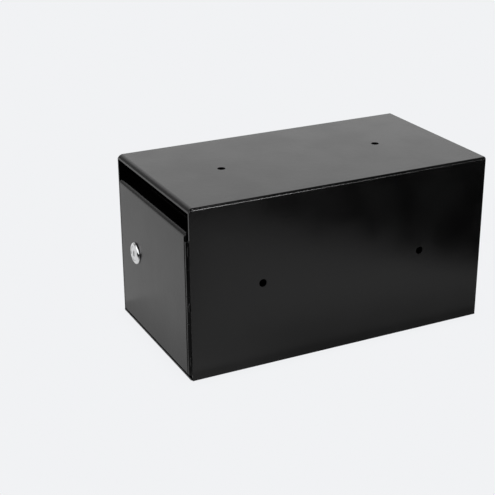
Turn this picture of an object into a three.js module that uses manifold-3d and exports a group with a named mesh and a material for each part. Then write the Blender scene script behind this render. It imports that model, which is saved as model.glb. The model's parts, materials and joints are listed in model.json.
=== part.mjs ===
// A steel cash drop box with a hinged, keyed door on its narrow front and a deposit slot above the door.
//
// Lengths are millimetres and +Z is up. The origin is the centre of the underside. The door faces -Y,
// and +X is to the right of a person who faces the door.

import * as THREE from "three";
import { mergeVertices } from "three/addons/utils/BufferGeometryUtils.js";
import Module from "manifold-3d";

const wasm = await Module();
wasm.setup();

// ---------------------------------------------------------------- driving dimensions

const WIDTH = 153; // across the side sheets
const DEPTH = 277; // front to back of the top sheet
const HEIGHT = 148;
const SHEET = 1.5; // thickness of every folded steel sheet
const GAP = 0.3; // clearance between neighbouring pieces
const FIT = 0.1; // clearance of a sliding fit
const BEYOND = 1; // how far a cutting shape reaches past what it cuts

const WRAP_FOLD = 2.2; // outer radius of the wrap's two long folds
const WRAP_ROLL = 4.2; // outer radius of its front edge, which turns down over the slot
const PANEL_FOLD = 2.5; // outer radius of the folds of the bottom, the back and the strike
const FLANGE = 12; // height of the welded flanges of the bottom and back
const FLANGE_SETBACK = 24; // the bottom's flanges start this far behind the front
const BOTTOM_PROUD = 0.8; // the bottom sheet's front edge stands this far out in front of the wrap

const MOUNT_HOLE_R = 3.4;
const MOUNT_HOLE_SPACING = 150;

const DOOR_PROUD = 1.1; // the door's face stands this far out in front of the wrap
const DOOR_LEFT = -72.5;
const DOOR_RIGHT = 69.6;
const DOOR_BOTTOM = 2.2;
const DOOR_TOP = 126.4;
const DOOR_RETURN = 14; // depth of the door's folded edges
const DOOR_CORNER = 1.5;
const DOOR_FOLD = 1.8; // outer radius of the door's side and bottom folds
const DOOR_TOP_FOLD = 4; // outer radius of the fold under the slot

const BAFFLE = { length: 62, slope: -20, flange: 8, behindRim: 2.6, belowDoorTop: 1 };
const STRIKE = { halfHeight: 22, depth: 22, edgeX: -61, behindRim: 0.6 };

const HINGE_R = 2.4;
const HINGE_BORE_R = 1.45;
const HINGE_PIN_R = 1.35;
const HINGE_X = 72.3;
const HINGE_SETBACK = 0.6; // the pin's distance behind the wrap's front edge
const HINGE_BOTTOM = 4;
const HINGE_TOP = 120.2;
const HINGE_LEAF = 1;
const KNUCKLES = 5;

const LOCK_X = -38;
const LOCK_Z = 69.5;
const LOCK_HEAD_R = 9.6;
const LOCK_HEAD_PROUD = 2.4;
const LOCK_FLANK = { wide: 3.2, deep: 1.85 }; // the curved rim round the head's flat face
const LOCK_BARREL_R = 7.9;
const LOCK_FLAT = 6.8; // half the distance across the barrel's two flats
const LOCK_LENGTH = 17; // barrel length behind the door's face
const LOCK_WASHER = { radius: 11, thickness: 0.8 };
const LOCK_NUT = { cornerRadius: 12, thickness: 4 };
const PLUG_FACE_R = 6;
const PLUG_FACE_SETBACK = 0.2;
const PLUG_R = 5.2;
const PLUG_PAST_BARREL = 0.4; // how far the plug reaches out of the barrel's back
const COUNTERBORE_WALL = 0.5; // from the door's face forward to the counterbore for the plug's face
const KEYWAY = { width: 2, height: 5, pastWafers: 1.5 };
const SCREW_HOLE_WALL = 0.6; // metal between the keyway and the cam screw's hole
const TAIL = 6; // side of the square tail that drives the cam
const CAM_REACH = 28;
const CAM_WIDTH = 15;
const CAM_SHEET = 2;
const CAM_TIP_R = 3;
const CAM_WASHER = { radius: 5.5, bore: 2, thickness: 0.8 };
const CAM_SCREW = { headR: 4, headLength: 2.4, shankR: 1.6, shankLength: 5, bore: 1.8 };
const CROSS_SLOT = { halfWidth: 0.5, halfLength: 2.6, depth: 1.3 };

const WAFERS = 5;
const FIRST_WAFER = 1.4; // behind the door's face
const WAFER_PITCH = 2.4;
const WAFER_SHEET = 1;
const WAFER_HALF_WIDTH = 2;
const WAFER_HALF_HEIGHT = 4.7;
const WAFER_TRAVEL = 0.7;
const WAFER_WINDOW = { halfWidth: 1.1, halfHeight: 3, stagger: 0.4 };
const WAFER_ARM = { end: 3.7, halfHeight: 0.5 };

const SPRING = { radius: 0.5, wireR: 0.12, turns: 3, length: 2.2, centreX: 3.05, bottom: -3 };

// ---------------------------------------------------------------- derived places

const FRONT = -DEPTH / 2; // front edge of the wrap
const BACK = DEPTH / 2;
const INNER_X = WIDTH / 2 - SHEET;
const LINER_X = INNER_X - GAP; // outer face of anything welded inside the side walls
const LIP_Z = HEIGHT - WRAP_ROLL;
const DOOR_FACE = FRONT - DOOR_PROUD;
const DOOR_RIM = DOOR_FACE + DOOR_RETURN;
const HINGE_Y = FRONT + HINGE_SETBACK;
const HEAD_FRONT = DOOR_FACE - LOCK_HEAD_PROUD;
const BARREL_END = DOOR_FACE + LOCK_LENGTH;
const CAM_FRONT = BARREL_END + PLUG_PAST_BARREL + GAP;
const CAM_BACK = CAM_FRONT + CAM_SHEET;
const STRIKE_FRONT = DOOR_RIM + STRIKE.behindRim;
const BEYOND_LOCK = 20; // half the side of a block that takes in the whole lock

// ---------------------------------------------------------------- finishes

const LOOKS = {
  powderCoat: { color: 0x2e2e30, roughness: 0.42, metalness: 0 },
  zincSteel: { color: 0xa9adb0, roughness: 0.4, metalness: 0.9 },
  chrome: { color: 0xd9dbde, roughness: 0.12, metalness: 1 },
  brass: { color: 0xc9a75a, roughness: 0.35, metalness: 0.9 },
  springSteel: { color: 0x8f9296, roughness: 0.35, metalness: 0.9 },
};

// ---------------------------------------------------------------- solids

const ARC_STEPS = 6; // facets in each quarter turn of a fold
const ROUND_STEPS = 36; // facets round a lock part

// Where an outline's own x, its own y and its depth point, for a prism along each axis.
const PRISM_BASES = {
  x: [[0, 1, 0], [0, 0, 1], [1, 0, 0]],
  y: [[1, 0, 0], [0, 0, 1], [0, -1, 0]],
  z: [[1, 0, 0], [0, 1, 0], [0, 0, 1]],
};

// The closed solid of a three.js geometry.
function solid(geometry) {
  const bare = geometry.clone();
  bare.deleteAttribute("normal");
  bare.deleteAttribute("uv");
  const merged = mergeVertices(bare, 1e-4);
  const vertProperties = merged.getAttribute("position").array;
  const triVerts = new Uint32Array(merged.index.array);
  return new wasm.Manifold(new wasm.Mesh({ numProp: 3, vertProperties, triVerts }));
}

function block(xs, ys, zs) {
  const size = [xs, ys, zs].map(([low, high]) => high - low);
  const middle = [xs, ys, zs].map(([low, high]) => (high + low) / 2);
  return solid(new THREE.BoxGeometry(...size).translate(...middle));
}

// An outline pushed along an axis. It is drawn in (y, z) for x, in (x, z) for y and in (x, y) for z.
function prism(outline, axis, [from, to]) {
  const geometry = new THREE.ExtrudeGeometry(outline, {
    depth: to - from,
    bevelEnabled: false,
    curveSegments: ARC_STEPS,
  });
  geometry.translate(0, 0, axis === "y" ? -to : from);
  const columns = PRISM_BASES[axis].map((column) => new THREE.Vector3(...column));
  return solid(geometry.applyMatrix4(new THREE.Matrix4().makeBasis(...columns)));
}

// A rectangle whose corners have their own radii, anticlockwise from the lower left.
function rectangle([left, right], [bottom, top], [a, b, c, d] = [0, 0, 0, 0]) {
  const outline = new THREE.Shape();
  const quarter = Math.PI / 2;
  outline.moveTo(left + a, bottom);
  outline.lineTo(right - b, bottom);
  if (b) outline.absarc(right - b, bottom + b, b, -quarter, 0);
  outline.lineTo(right, top - c);
  if (c) outline.absarc(right - c, top - c, c, 0, quarter);
  outline.lineTo(left + d, top);
  if (d) outline.absarc(left + d, top - d, d, quarter, 2 * quarter);
  outline.lineTo(left, bottom + a);
  if (a) outline.absarc(left + a, bottom + a, a, 2 * quarter, 3 * quarter);
  return outline;
}

function rodAlongX(radius, [from, to], y, z) {
  const geometry = new THREE.CylinderGeometry(radius, radius, to - from, ROUND_STEPS);
  return solid(geometry.rotateZ(Math.PI / 2).translate((from + to) / 2, y, z));
}

function rodAlongZ(radius, [from, to], x, y) {
  const geometry = new THREE.CylinderGeometry(radius, radius, to - from, ROUND_STEPS);
  return solid(geometry.rotateX(Math.PI / 2).translate(x, y, (from + to) / 2));
}

// A round bar on the lock's axis.
function lockRod(radius, [from, to], steps = ROUND_STEPS) {
  const geometry = new THREE.CylinderGeometry(radius, radius, to - from, steps);
  return solid(geometry.translate(LOCK_X, (from + to) / 2, LOCK_Z));
}

// A block placed about the lock's axis.
function lockBlock([left, right], ys, [bottom, top]) {
  return block([LOCK_X + left, LOCK_X + right], ys, [LOCK_Z + bottom, LOCK_Z + top]);
}

function union(shapes) {
  return shapes.reduce((all, shape) => all.add(shape));
}

function cut(shape, tools) {
  return tools.reduce((rest, tool) => rest.subtract(tool), shape);
}

// ---------------------------------------------------------------- folded sheets

// The block that a tray is folded round. Its face lies across Y, and inset moves every wall inwards. The
// folds' radii are given for the left, right, bottom and top edges.
function trayBlock({ xs, zs, face, rim, folds, corners }, inset) {
  const inwards = Math.sign(rim - face);
  const ys = [face + inwards * inset, rim + inwards * inset].sort((a, b) => a - b);
  const width = [xs[0] + inset, xs[1] - inset];
  const height = [zs[0] + inset, zs[1] - inset];
  const [left, right, bottom, top] = folds.map((radius) => radius - inset);
  const planRadii = inwards > 0 ? [left, right, 0, 0] : [0, 0, right, left];
  const sideRadii = inwards > 0 ? [bottom, 0, 0, top] : [0, bottom, top, 0];
  const cornerRadii = corners.map((radius) => Math.max(radius - inset, 0));
  const plan = prism(rectangle(width, ys, planRadii), "z", height);
  const side = prism(rectangle(ys, height, sideRadii), "x", width);
  const front = prism(rectangle(width, height, cornerRadii), "y", ys);
  return plan.intersect(side).intersect(front);
}

function tray(form) {
  return trayBlock(form, 0).subtract(trayBlock(form, SHEET));
}

// The wrap is one sheet that makes the top and both sides. Its front edge turns down over the slot.
function wrapBlock(inset) {
  const fold = WRAP_FOLD - inset;
  const roll = WRAP_ROLL - inset;
  const halfWidth = WIDTH / 2 - inset;
  const zs = [-inset, HEIGHT - inset];
  const ys = [FRONT + inset, BACK + inset];
  const across = rectangle([-halfWidth, halfWidth], zs, [0, 0, fold, fold]);
  const along = rectangle(ys, zs, [0, 0, 0, roll]);
  return prism(across, "y", ys).intersect(prism(along, "x", [-halfWidth, halfWidth]));
}

function bodyWrap() {
  const doorway = block([-INNER_X, INNER_X], [FRONT - BEYOND, FRONT + WRAP_ROLL], [-BEYOND, LIP_Z]);
  const holes = [-1, 1].flatMap((end) => {
    const y = (end * MOUNT_HOLE_SPACING) / 2;
    const sides = rodAlongX(MOUNT_HOLE_R, [-WIDTH, WIDTH], y, HEIGHT / 2);
    const top = rodAlongZ(MOUNT_HOLE_R, [HEIGHT - SHEET - BEYOND, HEIGHT + BEYOND], 0, y);
    return [sides, top];
  });
  return cut(wrapBlock(0), [wrapBlock(SHEET), doorway, ...holes]);
}

// A channel that lies on its back. Its flanges stop short of the door and of the back's flanges.
function bottomPanel() {
  const plate = block([-LINER_X, LINER_X], [FRONT - BOTTOM_PROUD, BACK], [0, SHEET]);
  const ys = [FRONT + FLANGE_SETBACK, BACK - FLANGE - SHEET - GAP];
  const inner = LINER_X - SHEET;
  const fold = PANEL_FOLD - SHEET;
  const outer = rectangle([-LINER_X, LINER_X], [0, FLANGE], [PANEL_FOLD, PANEL_FOLD, 0, 0]);
  const hollow = rectangle([-inner, inner], [SHEET, FLANGE + BEYOND], [fold, fold, 0, 0]);
  const pastEnds = [ys[0] - BEYOND, ys[1] + BEYOND];
  const channel = prism(outer, "y", ys).subtract(prism(hollow, "y", pastEnds));
  const squareEdges = block([-LINER_X, LINER_X], ys, [0, SHEET]);
  return plate.subtract(squareEdges).add(channel);
}

function backPanel() {
  const topCorner = WRAP_FOLD - SHEET;
  return tray({
    xs: [-LINER_X, LINER_X],
    zs: [SHEET + GAP, HEIGHT - SHEET - GAP],
    face: BACK,
    rim: BACK - FLANGE,
    folds: [PANEL_FOLD, PANEL_FOLD, PANEL_FOLD, PANEL_FOLD],
    corners: [0, 0, topCorner, topCorner],
  });
}

// A ramp behind the door's top edge. It leads deposits in and down, and bars the way back to the slot.
function slotBaffle() {
  const slope = THREE.MathUtils.degToRad(BAFFLE.slope);
  const place = (geometry) => {
    geometry.translate(0, BAFFLE.length / 2, -SHEET / 2).rotateX(slope);
    return solid(geometry.translate(0, DOOR_RIM + BAFFLE.behindRim, DOOR_TOP - BAFFLE.belowDoorTop));
  };
  const ramp = place(new THREE.BoxGeometry(2 * LINER_X, BAFFLE.length, SHEET));
  const flanges = [-1, 1].map((side) => {
    const flange = new THREE.BoxGeometry(SHEET, BAFFLE.length, BAFFLE.flange);
    return place(flange.translate(side * (LINER_X - SHEET / 2), 0, (SHEET - BAFFLE.flange) / 2));
  });
  return union([ramp, ...flanges]);
}

// The angle that the cam turns in behind. The door's left edge also stops against it.
function camStrike() {
  const zs = [LOCK_Z - STRIKE.halfHeight, LOCK_Z + STRIKE.halfHeight];
  const ys = [STRIKE_FRONT, STRIKE_FRONT + STRIKE.depth];
  const xs = [-LINER_X, STRIKE.edgeX];
  const outer = rectangle(xs, ys, [PANEL_FOLD, 0, 0, 0]);
  const hollow = rectangle(
    [xs[0] + SHEET, xs[1] + BEYOND],
    [ys[0] + SHEET, ys[1] + BEYOND],
    [PANEL_FOLD - SHEET, 0, 0, 0],
  );
  return prism(outer, "z", zs).subtract(prism(hollow, "z", [zs[0] - BEYOND, zs[1] + BEYOND]));
}

function doorPanel() {
  const panel = tray({
    xs: [DOOR_LEFT, DOOR_RIGHT],
    zs: [DOOR_BOTTOM, DOOR_TOP],
    face: DOOR_FACE,
    rim: DOOR_RIM,
    folds: [DOOR_FOLD, DOOR_FOLD, DOOR_FOLD, DOOR_TOP_FOLD],
    corners: [DOOR_CORNER, DOOR_CORNER, DOOR_CORNER, DOOR_CORNER],
  });
  const through = [DOOR_FACE - BEYOND, DOOR_FACE + SHEET + BEYOND];
  const flat = LOCK_FLAT + GAP;
  const lockHole = lockRod(LOCK_BARREL_R + GAP, through);
  const flats = lockBlock([-BEYOND_LOCK, BEYOND_LOCK], through, [-flat, flat]);
  return panel.subtract(lockHole.intersect(flats));
}

// ---------------------------------------------------------------- hinge

// One leaf and its knuckles. Every second knuckle belongs to the other leaf.
function hingeLeaf(side, firstKnuckle) {
  const faces = [HINGE_X + side * (HINGE_R - HINGE_LEAF), HINGE_X + side * HINGE_R];
  const xs = faces.sort((a, b) => a - b);
  const pitch = (HINGE_TOP - HINGE_BOTTOM) / KNUCKLES;
  const plateStart = HINGE_Y + HINGE_R + GAP;
  const parts = [block(xs, [plateStart, DOOR_RIM - 2 * GAP], [HINGE_BOTTOM, HINGE_TOP])];
  for (let i = firstKnuckle; i < KNUCKLES; i += 2) {
    const zs = [HINGE_BOTTOM + i * pitch + GAP / 2, HINGE_BOTTOM + (i + 1) * pitch - GAP / 2];
    parts.push(rodAlongZ(HINGE_R, zs, HINGE_X, HINGE_Y));
    parts.push(block(xs, [HINGE_Y, plateStart + BEYOND], zs));
  }
  const boreEnds = [HINGE_BOTTOM - BEYOND, HINGE_TOP + BEYOND];
  const bore = rodAlongZ(HINGE_BORE_R, boreEnds, HINGE_X, HINGE_Y);
  return union(parts).subtract(bore);
}

function hingePin() {
  return rodAlongZ(HINGE_PIN_R, [HINGE_BOTTOM + GAP, HINGE_TOP - GAP], HINGE_X, HINGE_Y);
}

// ---------------------------------------------------------------- lock

// The housing's outline: a flat face, a curved rim and the barrel.
function housingProfile() {
  const seat = DOOR_FACE - GAP / 2;
  const faceR = LOCK_HEAD_R - LOCK_FLANK.wide;
  const rimY = HEAD_FRONT + LOCK_FLANK.deep;
  const profile = new THREE.Path();
  profile.moveTo(0, BARREL_END);
  profile.lineTo(LOCK_BARREL_R, BARREL_END);
  profile.lineTo(LOCK_BARREL_R, seat);
  profile.lineTo(LOCK_HEAD_R, seat);
  profile.lineTo(LOCK_HEAD_R, rimY);
  profile.absellipse(faceR, rimY, LOCK_FLANK.wide, LOCK_FLANK.deep, 0, -Math.PI / 2, true);
  profile.lineTo(0, HEAD_FRONT);
  return profile.getPoints(ARC_STEPS).reverse();
}

// Two grooves in the housing take the wafers' ends where the key comes out, a quarter turn apart.
function lockHousing() {
  const turned = new THREE.LatheGeometry(housingProfile(), ROUND_STEPS).translate(LOCK_X, 0, LOCK_Z);
  const across = [-BEYOND_LOCK, BEYOND_LOCK];
  const behindDoor = [DOOR_FACE, BARREL_END + BEYOND];
  const counterbore = [HEAD_FRONT - BEYOND, DOOR_FACE - COUNTERBORE_WALL];
  const reach = WAFER_HALF_HEIGHT + 2 * WAFER_TRAVEL;
  const halfGroove = WAFER_HALF_WIDTH + GAP;
  const groove = [DOOR_FACE + 2 * FIT, BARREL_END + BEYOND];
  return cut(solid(turned), [
    lockBlock(across, behindDoor, [LOCK_FLAT, BEYOND_LOCK]),
    lockBlock(across, behindDoor, [-BEYOND_LOCK, -LOCK_FLAT]),
    lockRod(PLUG_R + FIT, [HEAD_FRONT - BEYOND, BARREL_END + BEYOND]),
    lockRod(PLUG_FACE_R + 2 * FIT, counterbore),
    lockBlock([-halfGroove, halfGroove], groove, [0, reach]),
    lockBlock([0, reach], groove, [-halfGroove, halfGroove]),
  ]);
}

// A flat ring on the lock's axis.
function lockRing(radius, bore, [from, to], steps) {
  return lockRod(radius, [from, to], steps).subtract(lockRod(bore, [from - BEYOND, to + BEYOND]));
}

function washerBack() {
  return DOOR_FACE + SHEET + 2 * FIT + LOCK_WASHER.thickness;
}

function lockWasher() {
  return lockRing(LOCK_WASHER.radius, LOCK_BARREL_R + 2 * FIT, [DOOR_FACE + SHEET + 2 * FIT, washerBack()]);
}

function lockNut() {
  const start = washerBack() + 2 * FIT;
  return lockRing(LOCK_NUT.cornerRadius, LOCK_BARREL_R + FIT, [start, start + LOCK_NUT.thickness], 6);
}

function waferY(index) {
  return DOOR_FACE + FIRST_WAFER + index * WAFER_PITCH;
}

// A wafer's slot through the plug, with a pocket at its side for the arm and the spring.
function waferSlot(index) {
  const y = waferY(index);
  const side = WAFER_HALF_WIDTH + FIT;
  const halfSlot = WAFER_SHEET / 2 + FIT;
  const halfPocket = SPRING.radius + SPRING.wireR + FIT;
  const pocketEnd = WAFER_ARM.end + 2 * FIT;
  const past = PLUG_R + BEYOND;
  const slot = lockBlock([-side, side], [y - halfSlot, y + halfSlot], [-past, past]);
  const pocket = lockBlock(
    [0, pocketEnd],
    [y - halfPocket, y + halfPocket],
    [SPRING.bottom - 2 * FIT, WAFER_ARM.halfHeight + WAFER_TRAVEL + 2 * FIT],
  );
  return slot.add(pocket);
}

// The plug turns in the housing. It carries the keyway, the wafer slots and the square tail.
function lockPlug() {
  const face = HEAD_FRONT + PLUG_FACE_SETBACK;
  const faceBack = DOOR_FACE - COUNTERBORE_WALL - 2 * FIT;
  const half = TAIL / 2;
  const body = union([
    lockRod(PLUG_FACE_R, [face, faceBack]),
    lockRod(PLUG_R, [faceBack - FIT, BARREL_END + PLUG_PAST_BARREL]),
    lockBlock([-half, half], [BARREL_END + GAP, CAM_BACK + FIT], [-half, half]),
  ]);
  const keywayEnd = waferY(WAFERS - 1) + KEYWAY.pastWafers;
  const keyway = lockBlock(
    [-KEYWAY.width / 2, KEYWAY.width / 2],
    [face - BEYOND, keywayEnd],
    [-KEYWAY.height / 2, KEYWAY.height / 2],
  );
  const screwHole = lockRod(CAM_SCREW.bore, [keywayEnd + SCREW_HOLE_WALL, CAM_BACK + BEYOND]);
  const slots = Array.from({ length: WAFERS }, (_, index) => waferSlot(index));
  return cut(body, [keyway, screwHole, ...slots]);
}

// A wafer is a thin plate with a window for the key and an arm for its spring.
function wafer(index) {
  const y = waferY(index);
  const ys = [y - WAFER_SHEET / 2, y + WAFER_SHEET / 2];
  const plate = lockBlock(
    [-WAFER_HALF_WIDTH, WAFER_HALF_WIDTH],
    ys,
    [-WAFER_HALF_HEIGHT, WAFER_HALF_HEIGHT],
  );
  const arm = lockBlock(
    [WAFER_HALF_WIDTH - 2 * FIT, WAFER_ARM.end],
    ys,
    [-WAFER_ARM.halfHeight, WAFER_ARM.halfHeight],
  );
  const middle = WAFER_WINDOW.stagger * ((index % 3) - 1);
  const window = lockBlock(
    [-WAFER_WINDOW.halfWidth, WAFER_WINDOW.halfWidth],
    [ys[0] - BEYOND, ys[1] + BEYOND],
    [middle - WAFER_WINDOW.halfHeight, middle + WAFER_WINDOW.halfHeight],
  );
  return plate.add(arm).subtract(window);
}

// A coil that pushes a wafer's arm up.
class Helix extends THREE.Curve {
  constructor(radius, turns, centre, length) {
    super();
    Object.assign(this, { radius, turns, centre, length });
  }

  getPoint(t) {
    const angle = 2 * Math.PI * this.turns * t;
    const round = new THREE.Vector3(Math.cos(angle), Math.sin(angle), 0).multiplyScalar(this.radius);
    return round.add(this.centre).add(new THREE.Vector3(0, 0, this.length * t));
  }
}

function waferSpring(index) {
  const wire = new THREE.Shape().absarc(0, 0, SPRING.wireR, 0, 2 * Math.PI);
  const centre = new THREE.Vector3(LOCK_X + SPRING.centreX, waferY(index), LOCK_Z + SPRING.bottom);
  const extrudePath = new Helix(SPRING.radius, SPRING.turns, centre, SPRING.length);
  const options = { extrudePath, steps: 30, curveSegments: 5, bevelEnabled: false };
  return solid(new THREE.ExtrudeGeometry(wire, options));
}

// The cam hangs down when the door is free. A quarter turn swings it behind the strike.
function lockCam() {
  const half = CAM_WIDTH / 2;
  const xs = [LOCK_X - half, LOCK_X + half];
  const zs = [LOCK_Z - CAM_REACH, LOCK_Z + half];
  const headR = half - FIT;
  const outline = rectangle(xs, zs, [CAM_TIP_R, CAM_TIP_R, headR, headR]);
  const hole = TAIL / 2 + FIT;
  const squareHole = lockBlock([-hole, hole], [CAM_FRONT - BEYOND, CAM_BACK + BEYOND], [-hole, hole]);
  return prism(outline, "y", [CAM_FRONT, CAM_BACK]).subtract(squareHole);
}

function camWasher() {
  const start = CAM_BACK + GAP;
  return lockRing(CAM_WASHER.radius, CAM_WASHER.bore, [start, start + CAM_WASHER.thickness]);
}

function camScrew() {
  const headStart = CAM_BACK + GAP + CAM_WASHER.thickness + 2 * FIT;
  const headEnd = headStart + CAM_SCREW.headLength;
  const head = lockRod(CAM_SCREW.headR, [headStart, headEnd]);
  const shank = lockRod(CAM_SCREW.shankR, [CAM_BACK - CAM_SCREW.shankLength, headStart + BEYOND]);
  const wide = [-CROSS_SLOT.halfWidth, CROSS_SLOT.halfWidth];
  const long = [-CROSS_SLOT.halfLength, CROSS_SLOT.halfLength];
  const ys = [headEnd - CROSS_SLOT.depth, headEnd + BEYOND];
  return cut(head.add(shank), [lockBlock(wide, ys, long), lockBlock(long, ys, wide)]);
}

// ---------------------------------------------------------------- assembly

function piece(name, shape, look) {
  const made = shape.getMesh();
  const geometry = new THREE.BufferGeometry();
  geometry.setAttribute("position", new THREE.BufferAttribute(made.vertProperties, 3));
  geometry.setIndex(new THREE.BufferAttribute(made.triVerts, 1));
  geometry.computeVertexNormals();
  const mesh = new THREE.Mesh(geometry, new THREE.MeshStandardMaterial(look));
  mesh.name = name;
  return mesh;
}

function assembly(...members) {
  return new THREE.Group().add(...members);
}

const box = assembly(
  piece("body_wrap", bodyWrap(), LOOKS.powderCoat),
  piece("bottom_panel", bottomPanel(), LOOKS.powderCoat),
  piece("back_panel", backPanel(), LOOKS.powderCoat),
  piece("slot_baffle", slotBaffle(), LOOKS.powderCoat),
  piece("cam_strike", camStrike(), LOOKS.powderCoat),
  piece("hinge_body_leaf", hingeLeaf(1, 0), LOOKS.powderCoat),
  piece("hinge_pin", hingePin(), LOOKS.zincSteel),
);

const door = assembly(
  piece("door_panel", doorPanel(), LOOKS.powderCoat),
  piece("hinge_door_leaf", hingeLeaf(-1, 1), LOOKS.powderCoat),
  piece("lock_housing", lockHousing(), LOOKS.chrome),
  piece("lock_washer", lockWasher(), LOOKS.zincSteel),
  piece("lock_nut", lockNut(), LOOKS.zincSteel),
);

const lockCore = assembly(
  piece("lock_plug", lockPlug(), LOOKS.chrome),
  piece("lock_cam", lockCam(), LOOKS.zincSteel),
  piece("cam_washer", camWasher(), LOOKS.zincSteel),
  piece("cam_screw", camScrew(), LOOKS.zincSteel),
);

for (let i = 0; i < WAFERS; i++) {
  lockCore.add(piece(`wafer_${i + 1}`, wafer(i), LOOKS.brass));
  lockCore.add(piece(`wafer_spring_${i + 1}`, waferSpring(i), LOOKS.springSteel));
}

const group = assembly(box, door, lockCore);
export default group;
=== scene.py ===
"""The looks of a sheet-steel cash drop box: powder-coated sheets, a rolled hinge and a chrome cam lock.

Lengths are millimetres until a mesh is written, and metres in the finishes and the studio. +Z is up and the
door faces -Y.
"""

import json
import math

import bmesh
import bpy
from mathutils import Matrix, Vector, noise


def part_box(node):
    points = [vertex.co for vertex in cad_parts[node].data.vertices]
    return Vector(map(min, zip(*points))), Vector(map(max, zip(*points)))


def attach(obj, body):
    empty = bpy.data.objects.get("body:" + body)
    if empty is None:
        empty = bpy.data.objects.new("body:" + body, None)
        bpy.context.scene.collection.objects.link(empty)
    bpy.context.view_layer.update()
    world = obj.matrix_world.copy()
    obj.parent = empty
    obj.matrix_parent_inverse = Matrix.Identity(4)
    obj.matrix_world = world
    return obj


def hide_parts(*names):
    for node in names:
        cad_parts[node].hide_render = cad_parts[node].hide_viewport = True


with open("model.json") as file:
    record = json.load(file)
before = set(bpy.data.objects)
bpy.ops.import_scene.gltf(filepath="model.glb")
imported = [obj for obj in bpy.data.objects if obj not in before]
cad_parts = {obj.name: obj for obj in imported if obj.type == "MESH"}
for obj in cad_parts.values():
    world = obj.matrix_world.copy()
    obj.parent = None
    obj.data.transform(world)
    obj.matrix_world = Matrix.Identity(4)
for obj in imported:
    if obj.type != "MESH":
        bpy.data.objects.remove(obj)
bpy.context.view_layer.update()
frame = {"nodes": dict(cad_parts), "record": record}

# ---------------------------------------------------------------- sizes

MM = 0.001
QUARTER = math.pi / 2
TURN = 2 * math.pi
TOUCH = 0.001  # points closer than this are one point


def span(node):
    """A CAD node's lowest and highest corners in millimetres."""
    low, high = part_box(node)
    return low / MM, high / MM


WRAP_LOW, WRAP_HIGH = span("body_wrap")
DOOR_LOW, DOOR_HIGH = span("door_panel")
BACK_LOW, BACK_HIGH = span("back_panel")
HOUSING_LOW, HOUSING_HIGH = span("lock_housing")
PIN_LOW, PIN_HIGH = span("hinge_pin")
BODY_LEAF_LOW, BODY_LEAF_HIGH = span("hinge_body_leaf")
DOOR_LEAF_LOW, DOOR_LEAF_HIGH = span("hinge_door_leaf")

SHEET = 1.5
WRAP_FOLD = 2.2  # outer radius of the two long folds
WRAP_ROLL = 4.2  # outer radius of the front edge that turns down over the slot
PANEL_FOLD = 2.5
DOOR_FOLD = 1.8
DOOR_TOP_FOLD = 4.0
DOOR_CORNER = 2.0
CUT_EDGE = 0.25  # rounding that the coating gives a cut edge
SHARP_EDGE = math.radians(50)  # edges that turn by more than this are rounded
FOLD_STEPS = 10
MIN_CORNER = 0.3

MOUNT_HOLE_R = 3.4
MOUNT_HOLE_SPACING = 150.0
HOLE_STEPS = 48

HINGE_AXIS = (PIN_LOW + PIN_HIGH) / 2
HINGE_R = BODY_LEAF_HIGH.x - HINGE_AXIS.x
HINGE_BOTTOM = min(BODY_LEAF_LOW.z, DOOR_LEAF_LOW.z)
HINGE_TOP = max(BODY_LEAF_HIGH.z, DOOR_LEAF_HIGH.z)
HINGE_LEAF = 1.0
KNUCKLES = 5
KNUCKLE_GAP = 0.3
KNUCKLE_PITCH = (HINGE_TOP - HINGE_BOTTOM) / KNUCKLES
CURL_END = math.radians(298)
CURL_STEPS = 30
LEAF_EDGE = 0.3

LOCK = (HOUSING_LOW + HOUSING_HIGH) / 2
BARREL_R = 7.9
BARREL_FLAT = 6.8
HOLE_FIT = 0.3  # clearance of the door's hole round the barrel
LOCK_STEPS = 72


# ---------------------------------------------------------------- mesh building


def grid(bm, rows):
    """Quads between rows of points."""
    made = [[bm.verts.new(point) for point in row] for row in rows]
    for lower, upper in zip(made, made[1:]):
        for i in range(len(lower) - 1):
            bm.faces.new((lower[i], lower[i + 1], upper[i + 1], upper[i]))


def fill(bm, loops):
    """A flat sheet inside the first loop, with the other loops as holes."""
    edges = []
    for loop in loops:
        verts = [bm.verts.new(point) for point in loop]
        edges += [bm.edges.new(pair) for pair in zip(verts, verts[1:] + verts[:1])]
    bmesh.ops.triangle_fill(bm, edges=edges, use_beauty=True)


def join_skin(bm, outwards):
    """Merges the patches and turns every face out. The face furthest along outwards faces that way."""
    bmesh.ops.remove_doubles(bm, verts=bm.verts, dist=TOUCH)
    bmesh.ops.recalc_face_normals(bm, faces=bm.faces)
    direction = Vector(outwards)
    furthest = max(bm.faces, key=lambda face: face.calc_center_median().dot(direction))
    if furthest.normal.dot(direction) < 0:
        bmesh.ops.reverse_faces(bm, faces=bm.faces)


def make_piece(name, bm, body, slot, stands_for=()):
    mesh = bpy.data.meshes.new(name)
    bm.to_mesh(mesh)
    bm.free()
    mesh.transform(Matrix.Scale(MM, 4))
    mesh.shade_smooth()
    mesh.materials.append(MATERIALS[slot])
    piece = bpy.data.objects.new(name, mesh)
    bpy.context.scene.collection.objects.link(piece)
    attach(piece, body)
    if stands_for:
        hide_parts(*stands_for)
    return piece


def thicken(piece, thickness):
    """Gives a skin its sheet thickness, inwards."""
    solidify = piece.modifiers.new("sheet", "SOLIDIFY")
    solidify.thickness = thickness * MM
    solidify.offset = -1
    solidify.use_even_offset = True


def round_edges(piece, width, segments=3):
    bevel = piece.modifiers.new("edges", "BEVEL")
    bevel.width = width * MM
    bevel.segments = segments
    bevel.limit_method = "ANGLE"
    bevel.angle_limit = SHARP_EDGE
    bevel.use_clamp_overlap = True
    normals = piece.modifiers.new("normals", "WEIGHTED_NORMAL")
    normals.keep_sharp = True


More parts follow.
